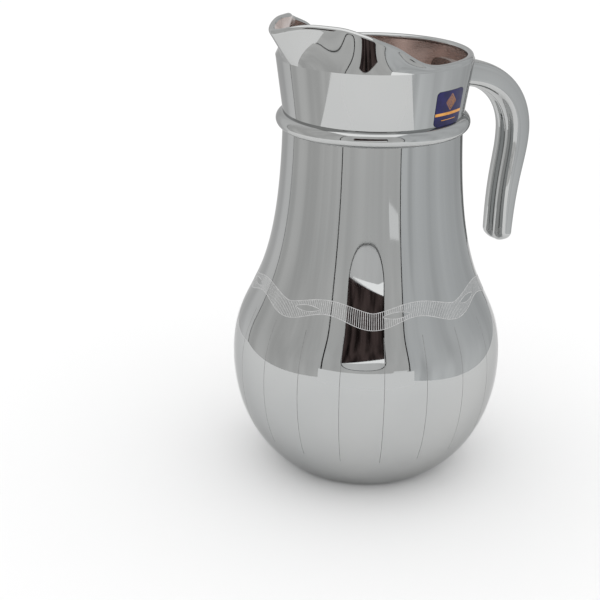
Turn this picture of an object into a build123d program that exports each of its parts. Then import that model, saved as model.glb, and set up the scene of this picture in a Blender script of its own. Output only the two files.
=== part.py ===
from build123d import *
from math import cos, pi, radians, sin, sqrt
import os

# A mirror-coated glass water jug: a blown bowl and neck, a moulded collar with a
# pouring rim, and a solid glass handle whose lower end hangs free.
# Millimetres. Origin at the centre of the resting face, +Z up along the jug's axis,
# handle towards +X, spout towards -X.

# Glass wall and the thicker floor
WALL = 3.2
FLOOR = 7.0

# Bowl, from the ground foot to the top of the neck
FOOT_RADIUS = 40.0
FOOT_ROUND = 2.0
BELLY_RADIUS = 70.0
BELLY_HEIGHT = 60.4
NECK_RADIUS = 45.0
NECK_HEIGHT = 181.4
WAIST_FLARE = 2.1
BELLY_FULLNESS_LOW = 43.7
BELLY_FULLNESS_HIGH = 40.0
WAIST_LENGTH = 95.3
FOOT_LEAD = (2.6, 1.2)

# Neck ring, a half-round bead moulded between bowl and collar
RING_HEIGHT = 8.0
RING_PROUD = 3.4

# Collar, flaring up to a sharp shoulder line
COLLAR_HEIGHT = 27.4
COLLAR_FLARE = 3.7

# Pouring rim: (radius, rise above the collar, lean of the lip in degrees) at even
# steps round from the middle of the spout; past the last one the rim is plain
RIM_BAND = 3.5
RIM_STEP = 12
RIM_STATIONS = (
    (59.0, 17.4, 34),
    (53.0, 19.9, 26),
    (46.9, 20.1, 8),
    (44.3, 19.3, -2),
    (45.0, 17.2, -8),
    (44.4, 14.0, -10),
    (43.9, 10.0, -8),
    (47.0, 4.5, -2),
    (48.2, 2.7, 0),
    (48.2, 2.7, 0),
)

# Handle: solid glass strap, stuck to the collar, arching over and hanging free. The
# runs say how far its curves keep straight on, as shares of the reach, drop and hang,
# and the leg rounds off past the share HANDLE_END_FROM of its length
HANDLE_ROOT_UP = 14.6
HANDLE_ROOT_SPREAD = 1.0
HANDLE_REACH = 91.8
HANDLE_DROP = 36.1
HANDLE_HANG = 60.8
HANDLE_TUCK = 6.0
HANDLE_WIDTH = 18.4
HANDLE_DEPTH_ROOT = 14.0
HANDLE_DEPTH_LEG = 9.6
HANDLE_END_FROM = 0.92
ARCH_RUN_OUT = 0.77
ARCH_RUN_DOWN = 0.43
LEG_RUN_DOWN = 0.26
LEG_RUN_UP = 0.62
LEG_LEAN = 0.2
CLEFT_DEPTH = 1.6
CLEFT_WIDTH = 2.6
SQUARENESS = 3.0
SECTION_POINTS = 28

# Label, a thin sticker on the collar
LABEL_WIDTH = 20.0
LABEL_HEIGHT = 17.2
LABEL_CORNER = 2.2
LABEL_THICKNESS = 0.3
LABEL_ANGLE = -73.5
LABEL_CENTRE_UP = 8.7

RING_TOP = NECK_HEIGHT + RING_HEIGHT
SHOULDER_HEIGHT = RING_TOP + COLLAR_HEIGHT
SHOULDER_RADIUS = NECK_RADIUS + COLLAR_FLARE
BORE_RADIUS = NECK_RADIUS - WALL


def at(radius, height):
    """A point in the upright plane through the axis."""
    return Vector(radius, 0, height)


def turned(*edges):
    """A body of revolution about the jug's axis from a closed outline."""
    return revolve(make_face(Wire(edges)), Axis.Z)


def outer_bowl_curves():
    belly = at(BELLY_RADIUS, BELLY_HEIGHT)
    foot = at(FOOT_RADIUS, 0)
    low = Bezier(
        foot,
        foot + at(*FOOT_LEAD),
        belly - at(0, BELLY_FULLNESS_LOW),
        belly,
    )
    high = Bezier(
        belly,
        belly + at(0, BELLY_FULLNESS_HIGH),
        at(NECK_RADIUS + WAIST_FLARE, NECK_HEIGHT - WAIST_LENGTH),
        at(NECK_RADIUS, NECK_HEIGHT),
    )
    return low, high


def inner_bowl_curves():
    belly = at(BELLY_RADIUS - WALL, BELLY_HEIGHT)
    high = Bezier(
        at(BORE_RADIUS, NECK_HEIGHT),
        at(BORE_RADIUS + WAIST_FLARE, NECK_HEIGHT - WAIST_LENGTH),
        belly + at(0, BELLY_FULLNESS_HIGH),
        belly,
    )
    low = Bezier(
        belly,
        belly - at(0, BELLY_FULLNESS_LOW - WALL),
        at(FOOT_RADIUS + WALL, FLOOR),
        at(0, FLOOR),
    )
    return high, low


def bowl():
    low, high = outer_bowl_curves()
    inner_high, inner_low = inner_bowl_curves()
    body = turned(
        Line(at(0, 0), at(FOOT_RADIUS, 0)),
        low,
        high,
        Line(at(NECK_RADIUS, NECK_HEIGHT), at(BORE_RADIUS, NECK_HEIGHT)),
        inner_high,
        inner_low,
        Line(at(0, FLOOR), at(0, 0)),
    )
    foot_edge = body.edges().filter_by(GeomType.CIRCLE).sort_by(Axis.Z)[0]
    return fillet(foot_edge, FOOT_ROUND)


def neck_ring():
    middle = at(NECK_RADIUS + RING_PROUD, NECK_HEIGHT + RING_HEIGHT / 2)
    return turned(
        Line(at(BORE_RADIUS, NECK_HEIGHT), at(NECK_RADIUS, NECK_HEIGHT)),
        ThreePointArc(at(NECK_RADIUS, NECK_HEIGHT), middle, at(NECK_RADIUS, RING_TOP)),
        Line(at(NECK_RADIUS, RING_TOP), at(BORE_RADIUS, RING_TOP)),
        Line(at(BORE_RADIUS, RING_TOP), at(BORE_RADIUS, NECK_HEIGHT)),
    )


def collar():
    return turned(
        Line(at(BORE_RADIUS, RING_TOP), at(NECK_RADIUS, RING_TOP)),
        Line(at(NECK_RADIUS, RING_TOP), at(SHOULDER_RADIUS, SHOULDER_HEIGHT)),
        Line(at(SHOULDER_RADIUS, SHOULDER_HEIGHT), at(SHOULDER_RADIUS - WALL, SHOULDER_HEIGHT)),
        Line(at(SHOULDER_RADIUS - WALL, SHOULDER_HEIGHT), at(BORE_RADIUS, RING_TOP)),
    )


def collar_envelope(extra=0.0):
    """The collar as a solid cone, its outside moved out by extra."""
    return turned(
        Line(at(0, RING_TOP), at(NECK_RADIUS + extra, RING_TOP)),
        Line(at(NECK_RADIUS + extra, RING_TOP), at(SHOULDER_RADIUS + extra, SHOULDER_HEIGHT)),
        Line(at(SHOULDER_RADIUS + extra, SHOULDER_HEIGHT), at(0, SHOULDER_HEIGHT)),
        Line(at(0, SHOULDER_HEIGHT), at(0, RING_TOP)),
    )


def rim_section(angle, radius, rise, lean):
    """The rim's wall where an upright plane cuts it, angle degrees round from the spout."""
    half = RIM_BAND / 2
    outside = at(SHOULDER_RADIUS, SHOULDER_HEIGHT)
    inside = at(SHOULDER_RADIUS - WALL, SHOULDER_HEIGHT)
    lip = at(radius - half, SHOULDER_HEIGHT + rise - half)
    along = at(sin(radians(lean)), cos(radians(lean)))
    across = at(cos(radians(lean)), -sin(radians(lean)))
    bend = lip - along * ((lip - (outside + inside) / 2).length / 2)
    outline = Wire(
        (
            Line(inside, outside),
            Bezier(outside, bend + across * half, lip + across * half),
            ThreePointArc(lip + across * half, lip + along * half, lip - across * half),
            Bezier(lip - across * half, bend - across * half, inside),
        )
    )
    return make_face(outline).rotate(Axis.Z, 180 - angle)


def pouring_rim():
    last = len(RIM_STATIONS) - 1
    sections = [
        rim_section(RIM_STEP * step, *RIM_STATIONS[abs(step)]) for step in range(-last, last + 1)
    ]
    plain = revolve(sections[0], Axis.Z, 360 - 2 * RIM_STEP * last)
    return loft(sections) + plain


def handle_path():
    """Centre line of the handle: an arch out of the collar, then the hanging leg."""
    root = at(SHOULDER_RADIUS - 2 * WALL, RING_TOP + HANDLE_ROOT_UP)
    turn = at(HANDLE_REACH, root.Z - HANDLE_DROP)
    end = at(HANDLE_REACH - HANDLE_TUCK, turn.Z - HANDLE_HANG)
    arch = Bezier(
        root,
        root + at(ARCH_RUN_OUT * (turn.X - root.X), 0),
        turn + at(0, ARCH_RUN_DOWN * HANDLE_DROP),
        turn,
    )
    leg = Bezier(
        turn,
        turn - at(0, LEG_RUN_DOWN * HANDLE_HANG),
        end + at(LEG_LEAN, LEG_RUN_UP * HANDLE_HANG),
        end,
    )
    return arch, leg


def strap_section(centre, tangent, width, depth, cleft):
    """A rounded strap across the path, with a cleft down the side that faces the jug."""
    outward = Vector(-tangent.Z, 0, tangent.X)
    points = []
    for step in range(SECTION_POINTS):
        turn = 2 * pi * step / SECTION_POINTS
        reach = (abs(cos(turn)) ** SQUARENESS + abs(sin(turn)) ** SQUARENESS) ** (-1 / SQUARENESS)
        across = reach * cos(turn) * width / 2
        out = reach * sin(turn) * depth / 2
        if out < 0:
            out += cleft / (1 + (across / (CLEFT_WIDTH / 2)) ** 2)
        points.append(centre + outward * out + Vector(0, across, 0))
    return make_face(Wire(Spline(*points, periodic=True)))


def handle():
    arch, leg = handle_path()
    sections = []
    for share in (0, 0.2, 0.4, 0.6, 0.8):
        depth = HANDLE_DEPTH_ROOT
        width = HANDLE_WIDTH + HANDLE_ROOT_SPREAD * (1 - share)
        sections.append(strap_section(arch @ share, arch % share, width, depth, CLEFT_DEPTH * share))
    for share in (0, 0.25, 0.5, 0.75, HANDLE_END_FROM):
        depth = HANDLE_DEPTH_ROOT + (HANDLE_DEPTH_LEG - HANDLE_DEPTH_ROOT) * share
        sections.append(strap_section(leg @ share, leg % share, HANDLE_WIDTH, depth, CLEFT_DEPTH))
    for share in (0.97, 0.992):
        left = (1 - share) / (1 - HANDLE_END_FROM)
        shrink = sqrt(1 - (1 - left) ** 2)
        sections.append(
            strap_section(
                leg @ share,
                leg % share,
                HANDLE_WIDTH * shrink,
                HANDLE_DEPTH_LEG * shrink,
                CLEFT_DEPTH * shrink,
            )
        )
    return loft(sections) - collar_envelope()


def label():
    skin = collar_envelope(LABEL_THICKNESS) - collar_envelope()
    centre = RING_TOP + LABEL_CENTRE_UP
    patch = extrude(
        Plane(origin=(0, 0, centre), x_dir=(0, 1, 0), z_dir=(1, 0, 0))
        * RectangleRounded(LABEL_WIDTH, LABEL_HEIGHT, LABEL_CORNER),
        2 * BELLY_RADIUS,
    )
    return skin & patch.rotate(Axis.Z, LABEL_ANGLE)


NODES = {
    "bowl": bowl,
    "neck_ring": neck_ring,
    "collar": collar,
    "pouring_rim": pouring_rim,
    "handle": handle,
    "label": label,
}

os.makedirs("parts", exist_ok=True)
for name, make in NODES.items():
    export_step(make(), f"parts/{name}.step")
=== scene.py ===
from math import atan2, cos, hypot, pi, radians, sin, sqrt

import bpy
import numpy as np
from mathutils import Matrix, Vector


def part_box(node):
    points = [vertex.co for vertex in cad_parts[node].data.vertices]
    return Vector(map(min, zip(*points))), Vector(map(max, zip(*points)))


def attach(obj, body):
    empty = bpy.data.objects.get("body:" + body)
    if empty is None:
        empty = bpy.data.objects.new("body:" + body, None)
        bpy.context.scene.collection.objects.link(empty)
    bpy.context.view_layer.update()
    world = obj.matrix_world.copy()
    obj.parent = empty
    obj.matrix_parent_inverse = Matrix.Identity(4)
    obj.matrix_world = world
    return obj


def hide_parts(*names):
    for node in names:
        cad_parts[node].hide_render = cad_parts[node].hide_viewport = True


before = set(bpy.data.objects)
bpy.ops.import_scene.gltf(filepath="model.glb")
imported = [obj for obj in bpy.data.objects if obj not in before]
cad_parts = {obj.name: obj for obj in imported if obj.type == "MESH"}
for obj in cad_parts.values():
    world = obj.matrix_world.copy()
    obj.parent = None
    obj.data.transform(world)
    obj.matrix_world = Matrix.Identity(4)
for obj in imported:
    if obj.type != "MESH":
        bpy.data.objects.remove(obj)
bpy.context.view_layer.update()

BODY = "root"

# ---------------------------------------------------------------------------
# Bowl: the blown belly and neck of the jug, 3.2 mm glass with a thick floor and
# a flat ground foot. Its outside carries the vacuum-deposited mirror coat; inside,
# the coat shows through the glass as a warm grey brown.
# ---------------------------------------------------------------------------
MM = 0.001
bowl_low, bowl_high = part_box("bowl")
belly_radius = (bowl_high.x - bowl_low.x) / 2
neck_top = bowl_high.z
wall = 3.2 * MM
floor_thickness = 7.0 * MM
foot_radius = 40.0 * MM
foot_round = 1.2 * MM
belly_height = 60.4 * MM
neck_radius = 45.0 * MM
bore_radius = neck_radius - wall
waist_radius_lead = 2.1 * MM
waist_length = 95.3 * MM
fullness_low = 43.7 * MM
fullness_high = 40.0 * MM
foot_lead = (2.6 * MM, 1.2 * MM)
turns_round = 288
merge_gap = 1e-6


def bezier(points, count):
    """Points along a Bezier curve of any degree, both ends included."""
    t = np.linspace(0, 1, count)[:, None]
    level = [np.array(p, float) + 0 * t for p in points]
    while len(level) > 1:
        level = [(1 - t) * a + t * b for a, b in zip(level, level[1:])]
    return level[0]


def chain(*runs):
    """Joins runs of outline points, dropping each repeated corner."""
    rows = [np.atleast_2d(np.array(runs[0], float))]
    for run in runs[1:]:
        run = np.atleast_2d(np.array(run, float))
        rows.append(run[1:] if np.allclose(run[0], rows[-1][-1]) else run)
    return np.vstack(rows)


def outer_bowl(low_count=90, high_count=130):
    """Outside of the bowl as (radius, height), from the foot up to the neck."""
    low = bezier(
        [
            (foot_radius, 0),
            (foot_radius + foot_lead[0], foot_lead[1]),
            (belly_radius, belly_height - fullness_low),
            (belly_radius, belly_height),
        ],
        low_count,
    )
    high = bezier(
        [
            (belly_radius, belly_height),
            (belly_radius, belly_height + fullness_high),
            (neck_radius + waist_radius_lead, neck_top - waist_length),
            (neck_radius, neck_top),
        ],
        high_count,
    )
    start = next(i for i, p in enumerate(low) if hypot(p[0] - foot_radius, p[1]) > foot_round)
    rounding = bezier([(foot_radius - foot_round, 0), (foot_radius, 0), low[start]], 6)
    return chain(rounding, low[start:], high)


def inner_bowl():
    """Inside of the bowl, from the neck down to the middle of the floor."""
    high = bezier(
        [
            (bore_radius, neck_top),
            (bore_radius + waist_radius_lead, neck_top - waist_length),
            (belly_radius - wall, belly_height + fullness_high),
            (belly_radius - wall, belly_height),
        ],
        70,
    )
    low = bezier(
        [
            (belly_radius - wall, belly_height),
            (belly_radius - wall, belly_height - fullness_low + wall),
            (foot_radius + wall, floor_thickness),
            (0, floor_thickness),
        ],
        60,
    )
    return chain(high, low)


def link(tree, out_socket, in_socket):
    tree.links.new(out_socket, in_socket)


def geometry_tree(name, inputs):
    """An empty geometry tree with named inputs, given as (name, socket type) pairs."""
    tree = bpy.data.node_groups.new(name, "GeometryNodeTree")
    tree.interface.new_socket("Geometry", in_out="INPUT", socket_type="NodeSocketGeometry")
    for label, kind in inputs:
        tree.interface.new_socket(label, in_out="INPUT", socket_type=kind)
    tree.interface.new_socket("Geometry", in_out="OUTPUT", socket_type="NodeSocketGeometry")
    return tree, tree.nodes.new("NodeGroupInput"), tree.nodes.new("NodeGroupOutput")


def math_node(tree, operation, a, b=None):
    node = tree.nodes.new("ShaderNodeMath")
    node.operation = operation
    for socket, value in zip(node.inputs, (a, b)):
        if isinstance(value, (int, float)):
            socket.default_value = value
        elif value is not None:
            link(tree, value, socket)
    return node.outputs[0]


def turning_tree():
    """Sweeps an outline, given as a string of points in the XZ plane, round the Z axis."""
    tree, entry, leave = geometry_tree(
        "turned_on_axis",
        [
            ("Segments", "NodeSocketInt"),
            ("Merge Gap", "NodeSocketFloat"),
            ("Outside", "NodeSocketMaterial"),
            ("Inside", "NodeSocketMaterial"),
        ],
    )
    nodes = tree.nodes
    size = nodes.new("GeometryNodeAttributeDomainSize")
    link(tree, entry.outputs["Geometry"], size.inputs[0])
    count = size.outputs["Point Count"]
    sheet = nodes.new("GeometryNodeMeshGrid")
    link(tree, math_node(tree, "ADD", entry.outputs["Segments"], 1), sheet.inputs["Vertices X"])
    link(tree, count, sheet.inputs["Vertices Y"])
    index = nodes.new("GeometryNodeInputIndex").outputs[0]
    step = math_node(tree, "FLOOR", math_node(tree, "DIVIDE", math_node(tree, "ADD", index, 0.5), count))
    along = math_node(tree, "SUBTRACT", index, math_node(tree, "MULTIPLY", step, count))
    turn = math_node(tree, "MULTIPLY", math_node(tree, "DIVIDE", step, entry.outputs["Segments"]), 2 * pi)

    point = nodes.new("GeometryNodeSampleIndex")
    point.data_type = "FLOAT_VECTOR"
    link(tree, entry.outputs["Geometry"], point.inputs["Geometry"])
    link(tree, nodes.new("GeometryNodeInputPosition").outputs[0], point.inputs["Value"])
    link(tree, along, point.inputs["Index"])
    spin = nodes.new("ShaderNodeVectorRotate")
    spin.rotation_type = "Z_AXIS"
    link(tree, point.outputs[0], spin.inputs["Vector"])
    link(tree, turn, spin.inputs["Angle"])

    lining = nodes.new("GeometryNodeInputNamedAttribute")
    lining.data_type = "FLOAT"
    lining.inputs["Name"].default_value = "lining"
    flag = nodes.new("GeometryNodeSampleIndex")
    flag.data_type = "FLOAT"
    link(tree, entry.outputs["Geometry"], flag.inputs["Geometry"])
    link(tree, lining.outputs["Attribute"], flag.inputs["Value"])
    link(tree, along, flag.inputs["Index"])
    store = nodes.new("GeometryNodeStoreNamedAttribute")
    store.data_type = "FLOAT"
    store.domain = "POINT"
    store.inputs["Name"].default_value = "lining"
    link(tree, sheet.outputs["Mesh"], store.inputs["Geometry"])
    link(tree, flag.outputs[0], store.inputs["Value"])

    place = nodes.new("GeometryNodeSetPosition")
    link(tree, store.outputs["Geometry"], place.inputs["Geometry"])
    link(tree, spin.outputs[0], place.inputs["Position"])
    outside = nodes.new("GeometryNodeSetMaterial")
    link(tree, place.outputs[0], outside.inputs["Geometry"])
    link(tree, entry.outputs["Outside"], outside.inputs["Material"])
    inside = nodes.new("GeometryNodeSetMaterial")
    link(tree, outside.outputs[0], inside.inputs["Geometry"])
    link(tree, entry.outputs["Inside"], inside.inputs["Material"])
    link(tree, math_node(tree, "GREATER_THAN", lining.outputs["Attribute"], 0.75), inside.inputs["Selection"])
    weld = nodes.new("GeometryNodeMergeByDistance")
    link(tree, inside.outputs[0], weld.inputs["Geometry"])
    link(tree, entry.outputs["Merge Gap"], weld.inputs["Distance"])
    realize = nodes.new("GeometryNodeRealizeInstances")
    link(tree, weld.outputs[0], realize.inputs[0])
    link(tree, realize.outputs[0], leave.inputs[0])
    return tree


def grown(source, tree, values, name):
    """Runs a geometry tree on a mesh and keeps the result as a plain piece."""
    carrier = bpy.data.objects.new(name + "_carrier", source)
    bpy.context.collection.objects.link(carrier)
    modifier = carrier.modifiers.new(tree.name, "NODES")
    modifier.node_group = tree
    sockets = {s.name: s.identifier for s in tree.interface.items_tree if s.in_out == "INPUT"}
    for label, value in values.items():
        modifier[sockets[label]] = value
    graph = bpy.context.evaluated_depsgraph_get()
    mesh = bpy.data.meshes.new_from_object(carrier.evaluated_get(graph), depsgraph=graph)
    carrier.modifiers.remove(modifier)
    bpy.data.objects.remove(carrier)
    mesh.name = name
    piece = bpy.data.objects.new(name, mesh)
    bpy.context.collection.objects.link(piece)
    return piece


def smooth(piece, sharp_angle=radians(32)):
    piece.data.polygons.foreach_set("use_smooth", [True] * len(piece.data.polygons))
    piece.data.set_sharp_from_angle(angle=sharp_angle)
    piece.data.update()


def facing_out(piece):
    """Turns the mesh right side out, judged by the sign of its volume."""
    mesh = piece.data
    mesh.calc_loop_triangles()
    corners = np.array([v.co[:] for v in mesh.vertices])
    tris = np.array([t.vertices[:] for t in mesh.loop_triangles])
    a, b, c = corners[tris[:, 0]], corners[tris[:, 1]], corners[tris[:, 2]]
    if np.einsum("ij,ij->", a, np.cross(b, c)) < 0:
        mesh.flip_normals()


def turned(name, outline, lining, outside, inside):
    """A ring or shell turned from an outline; lining marks the outline points that are inside."""
    mesh = bpy.data.meshes.new(name + "_outline")
    count = len(outline)
    mesh.from_pydata([(r, 0, z) for r, z in outline], [(i, i + 1) for i in range(count - 1)], [])
    flag = mesh.attributes.new("lining", "FLOAT", "POINT")
    flag.data.foreach_set("value", np.array(lining, np.float32))
    values = {"Segments": turns_round, "Merge Gap": merge_gap, "Outside": outside, "Inside": inside}
    piece = grown(mesh, turning, values, name)
    facing_out(piece)
    smooth(piece)
    return piece


def shader(name):
    """A new material with its Principled shader: (material, node tree, shader)."""
    material = bpy.data.materials.new(name)
    material.use_nodes = True
    return material, material.node_tree, material.node_tree.nodes["Principled BSDF"]


def noise(tree, scale, detail=2.0, stretch=(1, 1, 1)):
    """Noise on the piece's own coordinates, as many features to the metre as scale says."""
    coords = tree.nodes.new("ShaderNodeTexCoord")
    mapping = tree.nodes.new("ShaderNodeMapping")
    mapping.inputs["Scale"].default_value = stretch
    texture = tree.nodes.new("ShaderNodeTexNoise")
    texture.inputs["Scale"].default_value = scale
    texture.inputs["Detail"].default_value = detail
    link(tree, coords.outputs["Object"], mapping.inputs["Vector"])
    link(tree, mapping.outputs["Vector"], texture.inputs["Vector"])
    return texture.outputs["Fac"]


def ramp(tree, value, low, high, start=0.3, end=0.7):
    """Maps a 0 to 1 value smoothly between two colours or greys."""
    node = tree.nodes.new("ShaderNodeValToRGB")
    node.color_ramp.interpolation = "EASE"
    for element, place, colour in zip(node.color_ramp.elements, (start, end), (low, high)):
        element.position = place
        element.color = colour if len(colour) == 4 else (*colour, 1)
    link(tree, value, node.inputs["Fac"])
    return node.outputs["Color"]


def waves(tree, bsdf, layers):
    """Gentle relief: each layer is (value, height in metres, strength)."""
    normal = None
    for value, height, strength in layers:
        bump = tree.nodes.new("ShaderNodeBump")
        bump.inputs["Distance"].default_value = height
        bump.inputs["Strength"].default_value = strength
        link(tree, value, bump.inputs["Height"])
        if normal is not None:
            link(tree, normal, bump.inputs["Normal"])
        normal = bump.outputs["Normal"]
    link(tree, normal, bsdf.inputs["Normal"])


def mirror_coat(name, tint, ripple):
    """Metallised glass: near-perfect mirror, faint haze patches and the slow ripple of blown glass."""
    material, tree, bsdf = shader(name)
    bsdf.inputs["Metallic"].default_value = 1.0
    bsdf.inputs["Specular Tint"].default_value = (0.72, 0.72, 0.72, 1)
    link(tree, ramp(tree, noise(tree, 9, 3), tint[0], tint[1]), bsdf.inputs["Base Color"])
    haze = ramp(tree, noise(tree, 26, 4), (0.02,) * 3, (0.055,) * 3)
    link(tree, haze, bsdf.inputs["Roughness"])
    waves(tree, bsdf, [(noise(tree, 14, 1, (1, 1, 0.45)), ripple, 1.0), (noise(tree, 900, 2), 0.000002, 0.3)])
    return material


silver = mirror_coat("mirror_coat", ((0.49, 0.50, 0.50), (0.545, 0.55, 0.545)), 0.00035)


def glass_lining():
    """The back of the coat seen through clear glass: brownish metal under a glossy skin."""
    material, tree, bsdf = shader("coat_seen_through_glass")
    bsdf.inputs["Metallic"].default_value = 0.85
    bsdf.inputs["Coat Weight"].default_value = 0.6
    bsdf.inputs["Coat Roughness"].default_value = 0.03
    brown = ramp(tree, noise(tree, 16, 4), (0.56, 0.45, 0.41), (0.68, 0.57, 0.53))
    link(tree, brown, bsdf.inputs["Base Color"])
    link(tree, ramp(tree, noise(tree, 45, 3), (0.16,) * 3, (0.26,) * 3), bsdf.inputs["Roughness"])
    return material


lining_coat = glass_lining()
turning = turning_tree()
bowl_outside = outer_bowl()
bowl_inside = inner_bowl()
bowl_line = chain([(0, 0)], bowl_outside, bowl_inside, [(0, floor_thickness)])
bowl_flags = [0] * (len(bowl_line) - len(bowl_inside)) + [1] * len(bowl_inside)
bowl = turned("bowl_glass", bowl_line, bowl_flags, silver, lining_coat)
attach(bowl, BODY)
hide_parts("bowl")

# ---------------------------------------------------------------------------
# Neck ring: a half-round bead of the same glass, pressed where the neck meets
# the collar, and coated with them.
# ---------------------------------------------------------------------------
ring_low, ring_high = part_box("neck_ring")
ring_bottom, ring_top = ring_low.z, ring_high.z
ring_proud = (ring_high.x - ring_low.x) / 2 - neck_radius


def arc_through(a, middle, b, count):
    """Points of the circle arc from a to b through the middle point of a symmetric bead."""
    half = (b[1] - a[1]) / 2
    rise = middle[0] - a[0]
    radius = (half * half + rise * rise) / (2 * rise)
    centre = middle[0] - radius, middle[1]
    reach = atan2(half, a[0] - centre[0])
    angles = np.linspace(-reach, reach, count)
    return np.stack([centre[0] + radius * np.cos(angles), centre[1] + radius * np.sin(angles)], 1)


bead = arc_through(
    (neck_radius, ring_bottom),
    (neck_radius + ring_proud, (ring_bottom + ring_top) / 2),
    (neck_radius, ring_top),
    33,
)
ring_line = chain([(bore_radius, ring_bottom)], bead, [(bore_radius, ring_top)], [(bore_radius, ring_bottom)])
ring_flags = [1] + [0] * len(bead) + [1, 1]
ring = turned("neck_bead", ring_line, ring_flags, silver, lining_coat)
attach(ring, BODY)
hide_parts("neck_ring")

# ---------------------------------------------------------------------------
# Collar: the moulded band above the ring, flaring to a crisp shoulder line
# where the mould closed.
# ---------------------------------------------------------------------------
collar_low, collar_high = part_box("collar")
shoulder_height = collar_high.z
shoulder_radius = (collar_high.x - collar_low.x) / 2
collar_outside = bezier([(neck_radius, ring_top), (shoulder_radius, shoulder_height)], 24)
collar_inside = bezier([(shoulder_radius - wall, shoulder_height), (bore_radius, ring_top)], 24)
collar_line = chain(collar_outside, collar_inside, [(neck_radius, ring_top)])
collar_flags = [0] * len(collar_outside) + [1] * len(collar_inside) + [0]
collar = turned("collar_band", collar_line, collar_flags, silver, lining_coat)
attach(collar, BODY)
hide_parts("collar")

# ---------------------------------------------------------------------------
# Pouring rim: the fire-polished lip, one thick rounded band that stands on the
# shoulder, pinched in on both sides and drawn out into the spout while hot.
# ---------------------------------------------------------------------------
rim_band = 3.5 * MM
rim_step = 12
rim_stations = (
    (59.0, 17.4, 34),
    (53.0, 19.9, 26),
    (46.9, 20.1, 8),
    (44.3, 19.3, -2),
    (45.0, 17.2, -8),
    (44.4, 14.0, -10),
    (43.9, 10.0, -8),
    (47.0, 4.5, -2),
    (48.2, 2.7, 0),
    (48.2, 2.7, 0),
)
rim_turns = 360


def smooth_round(values, count):
    """Periodic smooth curve through even stations round the jug, at count even angles."""
    stations = len(values)
    system = np.zeros((stations, stations))
    for i in range(stations):
        system[i, i - 1] = 1
        system[i, i] = 4
        system[i, (i + 1) % stations] = 1
    weights = np.linalg.solve(system, 6 * np.array(values, float))
    place = np.arange(count) * stations / count
    cell = np.floor(place).astype(int)
    t = place - cell
    parts = ((1 - t) ** 3, 3 * t**3 - 6 * t**2 + 4, -3 * t**3 + 3 * t**2 + 3 * t + 1, t**3)
    return sum(part * weights[(cell + i - 1) % stations] for i, part in enumerate(parts)) / 6


def rim_shape():
    """Radius, rise and lean of the lip at each angle from the middle of the spout."""
    round_count = 360 // rim_step
    columns = []
    for column in range(3):
        values = []
        for station in range(round_count):
            nearest = min(station, round_count - station, len(rim_stations) - 1)
            values.append(rim_stations[nearest][column])
        columns.append(smooth_round(values, rim_turns))
    return columns[0] * MM, columns[1] * MM, np.radians(columns[2])


def rim_section(radius, rise, lean):
    """Wall outline at one angle as (radius, height): up the outside, over, and down inside."""
    half = rim_band / 2
    outside = np.array((shoulder_radius, shoulder_height))
    inside = np.array((shoulder_radius - wall, shoulder_height))
    lip = np.array((radius - half, shoulder_height + rise - half))
    along = np.array((sin(lean), cos(lean)))
    across = np.array((cos(lean), -sin(lean)))
    bend = lip - along * (np.linalg.norm(lip - (outside + inside) / 2) / 2)
    band = [
        lip + half * (across * cos(a) + along * sin(a)) for a in np.linspace(0, pi, 17)
    ]
    return (
        bezier([outside, bend + across * half, lip + across * half], 22),
        np.array(band),
        bezier([lip - across * half, bend - across * half, inside], 22),
    )


def pouring_rim():
    points = []
    for turn, shape in enumerate(zip(*rim_shape())):
        angle = pi - 2 * pi * turn / rim_turns
        outer, band, inner = rim_section(*shape)
        section = chain(outer, band, inner)
        inner_start = len(outer) + len(band) - 2
        points.extend((r * cos(angle), r * sin(angle), z) for r, z in section)
    size = len(section)
    faces = []
    for turn in range(rim_turns):
        here, there = turn * size, (turn + 1) % rim_turns * size
        for i in range(size):
            j = (i + 1) % size
            faces.append((here + i, here + j, there + j, there + i))
    mesh = bpy.data.meshes.new("pouring_lip")
    mesh.from_pydata(points, [], faces)
    mesh.materials.append(silver)
    mesh.materials.append(lining_coat)
    marks = [1 if inner_start <= k % size < size - 1 else 0 for k in range(len(faces))]
    mesh.polygons.foreach_set("material_index", marks)
    piece = bpy.data.objects.new("pouring_lip", mesh)
    bpy.context.collection.objects.link(piece)
    facing_out(piece)
    smooth(piece, radians(40))
    return piece


rim = pouring_rim()
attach(rim, BODY)
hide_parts("pouring_rim")

# ---------------------------------------------------------------------------
# Handle: a solid glass strap, laid hot against the collar, arched over and left
# hanging free; a cleft runs down the side that faces the jug. Coated all over.
# ---------------------------------------------------------------------------
handle_root_height = ring_top + 14.6 * MM
handle_reach = 91.8 * MM
handle_drop = 36.1 * MM
handle_hang = 60.8 * MM
handle_tuck = 6.0 * MM
handle_width = 18.4 * MM
root_spread = 1.0 * MM
depth_root = 14.0 * MM
depth_leg = 9.6 * MM
cleft_depth = 1.6 * MM
cleft_width = 2.6 * MM
strap_squareness = 3.0
strap_points = 96
arch_run_out = 0.77
arch_run_down = 0.43
leg_run_down = 0.26
leg_run_up = 0.62
leg_lean = 0.2 * MM
strap_tip = 5.5 * MM
tip_start = 0.08
cleft_fade = 0.2


def handle_line():
    """Centre line of the strap and its direction, as arrays in the XZ plane."""
    root = np.array((shoulder_radius - 2 * wall, handle_root_height))
    turn = np.array((handle_reach, root[1] - handle_drop))
    end = turn - (handle_tuck, handle_hang)
    arch_out = root + (arch_run_out * (turn[0] - root[0]), 0)
    arch = bezier([root, arch_out, turn + (0, arch_run_down * handle_drop), turn], 60)
    leg_up = end + (leg_lean, leg_run_up * handle_hang)
    leg = bezier([turn, turn - (0, leg_run_down * handle_hang), leg_up, end], 70)
    line = chain(arch, leg)
    heading = np.gradient(line, axis=0)
    return line, heading / np.linalg.norm(heading, axis=1)[:, None], len(arch)


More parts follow.
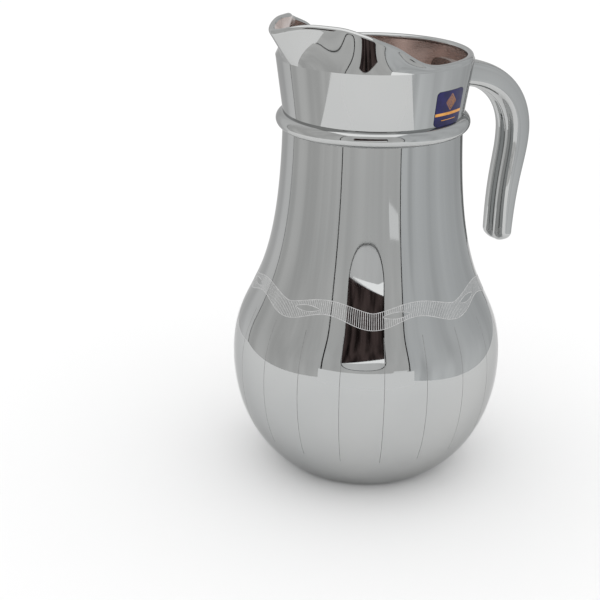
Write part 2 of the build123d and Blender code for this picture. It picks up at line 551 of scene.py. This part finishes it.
def handle():
    line, heading, arch_count = handle_line()
    lengths = np.concatenate([[0], np.cumsum(np.linalg.norm(np.diff(line, axis=0), axis=1))])
    points = []
    total = lengths[-1]
    turns = np.linspace(0, 2 * pi, strap_points, endpoint=False)
    spread = np.abs(np.cos(turns)) ** strap_squareness + np.abs(np.sin(turns)) ** strap_squareness
    reach = spread ** (-1 / strap_squareness)
    rounding = total - strap_tip * (1 - np.sin(np.linspace(tip_start, pi / 2, 16)))
    stations = np.concatenate([np.linspace(0, total - strap_tip, 130), rounding])
    for station in stations:
        centre = np.array([np.interp(station, lengths, line[:, k]) for k in (0, 1)])
        way = np.array([np.interp(station, lengths, heading[:, k]) for k in (0, 1)])
        way /= np.linalg.norm(way)
        out = np.array((-way[1], way[0]))
        on_arch = min(1.0, station / lengths[arch_count - 1])
        on_leg = max(0.0, (station - lengths[arch_count - 1]) / (total - lengths[arch_count - 1]))
        shrink = sqrt(max(0.0, 1 - max(0.0, (station - total + strap_tip) / strap_tip) ** 2))
        width = (handle_width + root_spread * (1 - on_arch)) * shrink
        depth = (depth_root + (depth_leg - depth_root) * on_leg) * shrink
        across = reach * np.cos(turns) * width / 2
        outward = reach * np.sin(turns) * depth / 2
        cleft = cleft_depth * on_arch * shrink / (1 + (across / (cleft_width / 2)) ** 2)
        fade = np.minimum(1, -outward / (cleft_fade * depth + 1e-9))
        outward = np.where(outward < 0, outward + cleft * fade, outward)
        for side, push in zip(across, outward):
            x, z = centre + out * push
            points.append((x, side, z))
    rows = len(stations)
    faces = []
    for row in range(rows - 1):
        for i in range(strap_points):
            j = (i + 1) % strap_points
            here, there = row * strap_points, (row + 1) * strap_points
            faces.append((here + i, here + j, there + j, there + i))
    faces.append(tuple(range(strap_points)))
    faces.append(tuple(reversed(range((rows - 1) * strap_points, rows * strap_points))))
    mesh = bpy.data.meshes.new("handle_strap")
    mesh.from_pydata(points, [], faces)
    mesh.materials.append(silver)
    piece = bpy.data.objects.new("handle_strap", mesh)
    bpy.context.collection.objects.link(piece)
    facing_out(piece)
    smooth(piece, radians(50))
    return piece


strap = handle()
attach(strap, BODY)
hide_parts("handle")

# ---------------------------------------------------------------------------
# Engraving: a wavy hatched ribbon round the shoulder of the belly and fine upright
# lines below it, cut through the coat by a wheel, so they are dull frosted glass.
# ---------------------------------------------------------------------------
ribbon_waves = 8
ribbon_start = radians(13)
upright_lines = 20
upright_start = radians(9)
hatches_per_wave = 44
cut_radius = 0.5 * MM
cut_proud = 0.035 * MM
bar_sides = 12
ribbon_crest, crest_rise, crest_sharpness = 103.1, 4.3, 1.4
ribbon_foot, foot_swing = 98.3, 2.6
lens_start, lens_end = radians(36), radians(150)
lens_middle, lens_climb, lens_half, lens_roundness = 101.6, 1.0, 1.45, 0.8
upright_low, upright_top = 25 * MM, 92.5 * MM


def on_bowl(angle, height, proud=cut_proud):
    """The centre of a cut's rounded bar at this angle and height on the bowl's outside."""
    slope = np.gradient(bowl_outside[:, 0], bowl_outside[:, 1] + np.arange(len(bowl_outside)) * 1e-12)
    radius = np.interp(height, bowl_outside[:, 1], bowl_outside[:, 0])
    rise = -np.interp(height, bowl_outside[:, 1], slope)
    length = hypot(1, rise)
    sink = cut_radius - proud
    radius = radius - sink / length
    return (radius * cos(angle), radius * sin(angle), height - sink * rise / length)


def ribbon_top(phase):
    return (ribbon_crest + crest_rise * abs(sin(phase / 2)) ** crest_sharpness) * MM


def ribbon_bottom(phase):
    return (ribbon_foot - foot_swing * cos(phase)) * MM


def lens(phase):
    """Opening between the two strands of the ribbon, as (lower, upper) height, or None."""
    if not lens_start < phase < lens_end:
        return None
    share = (phase - lens_start) / (lens_end - lens_start)
    middle = lens_middle + lens_climb * share
    half = lens_half * sin(pi * share) ** lens_roundness
    return (middle - half) * MM, (middle + half) * MM


def polyline_mesh(name, runs):
    points, edges = [], []
    for run in runs:
        base = len(points)
        points.extend(run)
        edges.extend((base + i, base + i + 1) for i in range(len(run) - 1))
    mesh = bpy.data.meshes.new(name)
    mesh.from_pydata(points, edges, [])
    return mesh


def ribbon_cuts():
    """One wave of the ribbon: its edges, the opening's outline, and the hatching."""
    wave = 2 * pi / ribbon_waves
    phases = np.linspace(0, 2 * pi, 61)
    runs = []
    for edge in (ribbon_top, ribbon_bottom):
        runs.append([on_bowl(ribbon_start + wave * p / (2 * pi), edge(p)) for p in phases])
    inside = [p for p in np.linspace(0, 2 * pi, 181) if lens(p)]
    for side in (0, 1):
        runs.append([on_bowl(ribbon_start + wave * p / (2 * pi), lens(p)[side]) for p in inside])
    for hatch in range(hatches_per_wave):
        phase = 2 * pi * (hatch + 0.5) / hatches_per_wave
        gap = lens(phase)
        spans = [(ribbon_bottom(phase), ribbon_top(phase))]
        if gap:
            spans = [(gap[1], ribbon_top(phase)), (ribbon_bottom(phase), gap[0])]
        for low, high in spans:
            angle = ribbon_start + wave * phase / (2 * pi)
            runs.append([on_bowl(angle, low + (high - low) * k / 4) for k in range(5)])
    return polyline_mesh("ribbon_cuts", runs)


def upright_cut():
    heights = np.linspace(upright_low, upright_top, 60)
    return polyline_mesh("upright_cut", [[on_bowl(upright_start, z) for z in heights]])


def engraving_tree():
    """Gives every cut its rounded bar and repeats one unit of them round the Z axis."""
    tree, entry, leave = geometry_tree(
        "engraved_round",
        [
            ("Repeats", "NodeSocketInt"),
            ("Cut Radius", "NodeSocketFloat"),
            ("Bar Sides", "NodeSocketInt"),
            ("Finish", "NodeSocketMaterial"),
        ],
    )
    nodes = tree.nodes
    curve = nodes.new("GeometryNodeMeshToCurve")
    link(tree, entry.outputs["Geometry"], curve.inputs["Mesh"])
    circle = nodes.new("GeometryNodeCurvePrimitiveCircle")
    link(tree, entry.outputs["Bar Sides"], circle.inputs["Resolution"])
    link(tree, entry.outputs["Cut Radius"], circle.inputs["Radius"])
    bar = nodes.new("GeometryNodeCurveToMesh")
    bar.inputs["Fill Caps"].default_value = True
    link(tree, curve.outputs[0], bar.inputs["Curve"])
    link(tree, circle.outputs["Curve"], bar.inputs["Profile Curve"])
    places = nodes.new("GeometryNodeMeshLine")
    link(tree, entry.outputs["Repeats"], places.inputs["Count"])
    places.inputs["Offset"].default_value = (0, 0, 0)
    index = nodes.new("GeometryNodeInputIndex").outputs[0]
    turn = math_node(tree, "MULTIPLY", math_node(tree, "DIVIDE", index, entry.outputs["Repeats"]), 2 * pi)
    rotation = nodes.new("ShaderNodeCombineXYZ")
    link(tree, turn, rotation.inputs["Z"])
    copies = nodes.new("GeometryNodeInstanceOnPoints")
    link(tree, places.outputs[0], copies.inputs["Points"])
    link(tree, bar.outputs[0], copies.inputs["Instance"])
    link(tree, rotation.outputs[0], copies.inputs["Rotation"])
    realize = nodes.new("GeometryNodeRealizeInstances")
    link(tree, copies.outputs[0], realize.inputs[0])
    finish = nodes.new("GeometryNodeSetMaterial")
    link(tree, realize.outputs[0], finish.inputs["Geometry"])
    link(tree, entry.outputs["Finish"], finish.inputs["Material"])
    link(tree, finish.outputs[0], leave.inputs[0])
    return tree


def frosted_cut(name, low, high):
    """Ground glass showing pale and dull where the coat is cut away."""
    material, tree, bsdf = shader(name)
    link(tree, ramp(tree, noise(tree, 700, 2), (low,) * 3, (high,) * 3), bsdf.inputs["Base Color"])
    link(tree, ramp(tree, noise(tree, 1500, 2), (0.5,) * 3, (0.7,) * 3), bsdf.inputs["Roughness"])
    return material


ribbon_frost = frosted_cut("ribbon_frost", 0.38, 0.50)
line_frost = frosted_cut("line_frost", 0.15, 0.22)
engraving = engraving_tree()
for cut_name, cut_mesh, repeats, finish in (
    ("engraved_ribbon", ribbon_cuts(), ribbon_waves, ribbon_frost),
    ("engraved_lines", upright_cut(), upright_lines, line_frost),
):
    values = {"Repeats": repeats, "Cut Radius": cut_radius, "Bar Sides": bar_sides, "Finish": finish}
    cuts = grown(cut_mesh, engraving, values, cut_name)
    smooth(cuts, radians(60))
    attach(cuts, BODY)

# ---------------------------------------------------------------------------
# Label: a rounded navy film sticker on the collar beside the handle, printed in
# gold with a stripe, a fine line below it and three plain diamonds, one in another.
# ---------------------------------------------------------------------------
label_width = 20.0 * MM
label_height = 17.2 * MM
label_corner = 2.2 * MM
label_thickness = 0.3 * MM
print_proud = 0.04 * MM
label_angle = radians(-73.5)
label_centre_height = ring_top + 8.7 * MM


def collar_radius(height):
    share = (height - ring_top) / (shoulder_height - ring_top)
    return neck_radius + share * (shoulder_radius - neck_radius)


def on_collar(across, up, proud):
    """A point on the collar, given from the label's centre, proud of the glass."""
    height = label_centre_height + up
    radius = collar_radius(height)
    angle = label_angle + across / collar_radius(label_centre_height)
    return ((radius + proud) * cos(angle), (radius + proud) * sin(angle), height)


def film(name, rows, base, top, material):
    """A thin closed patch on the collar; rows are lists of (across, up) points, bottom to top."""
    points = [on_collar(x, y, base) for row in rows for x, y in row]
    points += [on_collar(x, y, top) for row in rows for x, y in row]
    width, count = len(rows[0]), len(rows)
    layer = width * count
    faces = []
    for r in range(count - 1):
        for c in range(width - 1):
            a = r * width + c
            faces.append((a, a + width, a + width + 1, a + 1))
            b = a + layer
            faces.append((b, b + 1, b + width + 1, b + width))
    border = [c for c in range(width)]
    border += [r * width + width - 1 for r in range(1, count)]
    border += [(count - 1) * width + c for c in range(width - 2, -1, -1)]
    border += [r * width for r in range(count - 2, 0, -1)]
    for a, b in zip(border, border[1:] + border[:1]):
        faces.append((a, b, b + layer, a + layer))
    mesh = bpy.data.meshes.new(name)
    mesh.from_pydata(points, [], faces)
    mesh.materials.append(material)
    piece = bpy.data.objects.new(name, mesh)
    bpy.context.collection.objects.link(piece)
    smooth(piece, radians(40))
    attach(piece, BODY)
    return piece


def print_film(name, low, high, roughness, metallic):
    material, tree, bsdf = shader(name)
    link(tree, ramp(tree, noise(tree, 260, 3), low, high), bsdf.inputs["Base Color"])
    bsdf.inputs["Metallic"].default_value = metallic
    bsdf.inputs["Specular IOR Level"].default_value = 0.3
    bsdf.inputs["Coat Weight"].default_value = 0.15
    bsdf.inputs["Coat Roughness"].default_value = 0.08
    grain = ramp(tree, noise(tree, 500, 2), (roughness,) * 3, (roughness + 0.12,) * 3)
    link(tree, grain, bsdf.inputs["Roughness"])
    return material


navy = print_film("navy_film", (0.004, 0.003, 0.055), (0.009, 0.007, 0.09), 0.3, 0.0)
gold = print_film("gold_print", (0.62, 0.27, 0.05), (0.78, 0.38, 0.09), 0.35, 0.3)


def rounded_rows(width, height, corner, rows, columns):
    """Rows of points that fill a rectangle with rounded corners."""
    levels = [-height / 2 + corner * (1 - cos(a)) for a in np.linspace(0, pi / 2, rows)]
    levels += [height / 2 - corner * (1 - cos(a)) for a in np.linspace(pi / 2, 0, rows)]
    grid = []
    for level in levels:
        over = max(0.0, abs(level) - (height / 2 - corner))
        half = width / 2 - corner + sqrt(max(0.0, corner**2 - over**2))
        grid.append([(half * s, level) for s in np.linspace(-1, 1, columns)])
    return grid


sticker = film(
    "collar_label",
    rounded_rows(label_width, label_height, label_corner, 8, 25),
    0.0,
    label_thickness - print_proud,
    navy,
)
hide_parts("label")


def stroke(line, half):
    """Two rows either side of a line of (across, up) points."""
    lower, upper = [], []
    count = len(line)
    for i, (x, y) in enumerate(line):
        ax, ay = line[max(0, i - 1)]
        bx, by = line[min(count - 1, i + 1)]
        length = hypot(bx - ax, by - ay) or 1
        nx, ny = -(by - ay) / length * half, (bx - ax) / length * half
        lower.append((x - nx, y - ny))
        upper.append((x + nx, y + ny))
    return [lower, upper]


def printed(name, line, half):
    return film(name, stroke(line, half), label_thickness - 2 * print_proud, label_thickness, gold)


stripe_up = -2.6 * MM
stripe_half = 0.7 * MM
fine_half = 0.17 * MM
inset = label_width / 2 - 0.02 * MM
printed("label_stripe", [(x, stripe_up) for x in np.linspace(-inset, inset, 25)], stripe_half)
diamond_up = 3.0 * MM
diamond_tallness = 1.15
for place, half_width in enumerate((3.4 * MM, 2.2 * MM, 1.0 * MM)):
    half_height = diamond_tallness * half_width
    corners = [(1, 0), (0, 1), (-1, 0), (0, -1), (1, 0)]
    line = [(half_width * a, diamond_up + half_height * b) for a, b in corners]
    printed(f"label_diamond_{place}", line, fine_half)
fine_line_up = -5.6 * MM
fine_line_reach = 5.5 * MM
fine_line = [(x, fine_line_up) for x in np.linspace(-fine_line_reach, fine_line_reach, 25)]
printed("label_fine_line", fine_line, fine_half)

# ---------------------------------------------------------------------------
# Studio: pale sweep, and round the jug a white fabric light tent whose walls show
# only as reflections in the coat: corner seams, the front flap and its lens port.
# ---------------------------------------------------------------------------
camera_place = Vector((-0.3664, -0.5200, 0.3397))
camera_heading = radians(32)
camera_pitch = radians(21.68)
camera_roll = radians(0.67)
camera_lens = 78.0
sensor = 36.0
# Height over which the painted floor-bounce light at the foot of the tent walls fades out.
bounce_reach = 130 * MM
world_light = 1.18


def diffuse_sheet(name, colour):
    material, tree, bsdf = shader(name)
    bsdf.inputs["Roughness"].default_value = 0.9
    bsdf.inputs["Specular IOR Level"].default_value = 0.1
    bsdf.inputs["Base Color"].default_value = (*colour, 1)
    return material


def fabric(name, level, tint=(1, 1, 1), folds=0.0, stretch=(1, 1, 0.3), scale=7, bounce=0.0):
    """Cloth lit from behind, with soft folds and a painted brighter foot that stands in for light bounced up
    from the floor.
    """
    material = bpy.data.materials.new(name)
    material.use_nodes = True
    tree = material.node_tree
    tree.nodes.clear()
    output = tree.nodes.new("ShaderNodeOutputMaterial")
    light = tree.nodes.new("ShaderNodeEmission")
    light.inputs["Color"].default_value = (*(level * t for t in tint), 1)
    link(tree, light.outputs[0], output.inputs["Surface"])
    if folds:
        dark = [level * (1 - folds) * t for t in tint]
        pale = [level * (1 + folds) * t for t in tint]
        link(tree, ramp(tree, noise(tree, scale, 3, stretch), dark, pale), light.inputs["Color"])
    # Painted bounce light: the wall's glow is raised towards its foot, where the floor would throw light up
    # onto it.
    if bounce:
        place = tree.nodes.new("ShaderNodeTexCoord")
        parts = tree.nodes.new("ShaderNodeSeparateXYZ")
        fade = tree.nodes.new("ShaderNodeMapRange")
        fade.interpolation_type = "SMOOTHSTEP"
        for label, value in (("From Max", bounce_reach), ("To Min", 1 + bounce), ("To Max", 1.0)):
            fade.inputs[label].default_value = value
        link(tree, place.outputs["Object"], parts.inputs[0])
        link(tree, parts.outputs["Z"], fade.inputs["Value"])
        link(tree, fade.outputs["Result"], light.inputs["Strength"])
    return material


def tent_place(across, away, height):
    """A place in millimetres: across to the camera's right, away from it, and up."""
    x = across * cos(camera_heading) + away * sin(camera_heading)
    y = away * cos(camera_heading) - across * sin(camera_heading)
    return (x * MM, y * MM, height * MM)


def card(name, corners, material, seen=False):
    """A flat stage card; unless seen, it shows only where the coat mirrors it."""
    mesh = bpy.data.meshes.new(name)
    mesh.from_pydata([tent_place(*c) for c in corners], [], [tuple(range(len(corners)))])
    mesh.materials.append(material)
    piece = bpy.data.objects.new(name, mesh)
    bpy.context.collection.objects.link(piece)
    if not seen:
        piece.visible_camera = False
        piece.visible_diffuse = False
        piece.visible_shadow = False
    return piece


sweep = 6000
card(
    "floor",
    [(-sweep, -sweep, 0), (sweep, -sweep, 0), (sweep, sweep, 0), (-sweep, sweep, 0)],
    diffuse_sheet("pale_paper", (0.88, 0.88, 0.88)),
    seen=True,
)

tent_top = 900
front_away = -500
tent_corners = {
    "front_left": (-388, front_away),
    "front_right": (318, front_away),
    "back_right": (276, 380),
    "back_left": (-400, 180),
}
tent_walls = (
    ("front_left", "front_right", 40, fabric("front_flap", 0.66, (1, 1, 0.99), 0.08)),
    ("front_right", "back_right", 0, fabric("right_wall", 0.62, (0.98, 1, 1.01), 0.14, bounce=0.18)),
    ("back_right", "back_left", 0, fabric("back_wall", 0.72, (1, 1, 1), 0.10, bounce=0.15)),
    ("back_left", "front_left", 0, fabric("left_wall", 0.61, (1, 1, 0.99), 0.11, bounce=0.06)),
)
for left, right, base, cloth in tent_walls:
    a, b = tent_corners[left], tent_corners[right]
    card(f"tent_{left}", [(*a, base), (*b, base), (*b, tent_top), (*a, tent_top)], cloth)
card("tent_roof", [(*c, tent_top) for c in tent_corners.values()], fabric("roof", 1.35))
card(
    "low_board",
    [(-285, -350, 0), (243, -350, 0), (243, -350, 87), (-285, -350, 87)],
    fabric("board_white", 1.04),
)

tape = fabric("seam_tape", 0.015)
thin_tape = fabric("thin_seam", 0.16)
for corner, width, base, finish in (
    ("front_left", 15, 40, tape),
    ("front_right", 13, 40, tape),
    ("back_right", 16, 0, tape),
    ("back_left", 6, 0, thin_tape),
):
    across, away = (0.99 * v for v in tent_corners[corner])
    reach = hypot(across, away)
    side = (-away / reach * width / 2, across / reach * width / 2)
    near, far = (across - side[0], away - side[1]), (across + side[0], away + side[1])
    card(f"seam_{corner}", [(*near, base), (*far, base), (*far, tent_top), (*near, tent_top)], finish)

port_middle = -42
port_half = 166
port_low = 119
port_straight = 212
port_high = 420
dark_left = 177
dark_slope = 0.15
binding = 8


def port_outline(half, low, count=41):
    """The lens port's lower edge from left to right: a squarish bowl shape."""
    edge = []
    for a in np.linspace(pi, 2 * pi, count):
        c, d = cos(a), sin(a)
        reach = (abs(c) ** 3 + abs(d) ** 3) ** (-1 / 3)
        edge.append((port_middle + half * reach * c, port_straight + (port_straight - low) * reach * d))
    return edge


def port_card(name, flat, forward, material):
    card(name, [(x, front_away + forward, z) for x, z in flat], material)


def dark_edge(across):
    """Height of the slanted edge above which the port is dark."""
    return dark_left + (across - port_middle + port_half) * dark_slope


port_left, port_right = port_middle - port_half, port_middle + port_half
bowl_edge = port_outline(port_half, port_low)
inner_edge = port_outline(port_half - binding, port_low + 3)
port_card("port_binding", bowl_edge + [(port_right, port_high), (port_left, port_high)], 3, tape)
port_card(
    "port_cloth",
    inner_edge + [(port_right - binding, port_high - 4), (port_left + binding, port_high - 4)],
    6,
    fabric("port_cloth", 0.75, (1, 1, 1), 0.08),
)
port_card(
    "port_light",
    [
        (port_left + 40, dark_edge(port_left)),
        (port_middle, dark_edge(port_middle) - 16),
        (port_right - 60, dark_edge(port_right) - 34),
        (port_right - 9, dark_edge(port_right) - 40),
        (port_right - 9, dark_edge(port_right)),
    ],
    9,
    fabric("port_light", 1.4),
)
port_card(
    "port_dark",
    [
        (port_left + binding, dark_edge(port_left)),
        (port_right - binding, dark_edge(port_right)),
        (port_right - binding, port_high - 4),
        (port_left + binding, port_high - 4),
    ],
    12,
    fabric("room_beyond", 0.035, (1.25, 0.9, 0.85), 0.9, (1, 1, 0.3), 22),
)
port_card("flap_patch", [(165, 84), (285, 82), (292, 107), (180, 110)], 3, fabric("flap_patch", 1.0))

world = bpy.data.worlds.new("soft_studio")
bpy.context.scene.world = world
world.use_nodes = True
backdrop = world.node_tree.nodes["Background"]
backdrop.inputs["Color"].default_value = (1, 1, 1, 1)
backdrop.inputs["Strength"].default_value = world_light

eye = bpy.data.cameras.new("camera")
eye.lens = camera_lens
eye.sensor_width = sensor
camera = bpy.data.objects.new("camera", eye)
bpy.context.collection.objects.link(camera)
level_forward = Vector((sin(camera_heading), cos(camera_heading), 0))
forward = level_forward * cos(camera_pitch) - Vector((0, 0, sin(camera_pitch)))
level_right = Vector((cos(camera_heading), -sin(camera_heading), 0))
level_up = level_right.cross(forward)
right = level_right * cos(camera_roll) + level_up * sin(camera_roll)
up = level_up * cos(camera_roll) - level_right * sin(camera_roll)
camera.matrix_world = Matrix.Translation(camera_place) @ Matrix((right, up, -forward)).transposed().to_4x4()
bpy.context.scene.camera = camera
bpy.context.scene.view_settings.view_transform = "Standard"
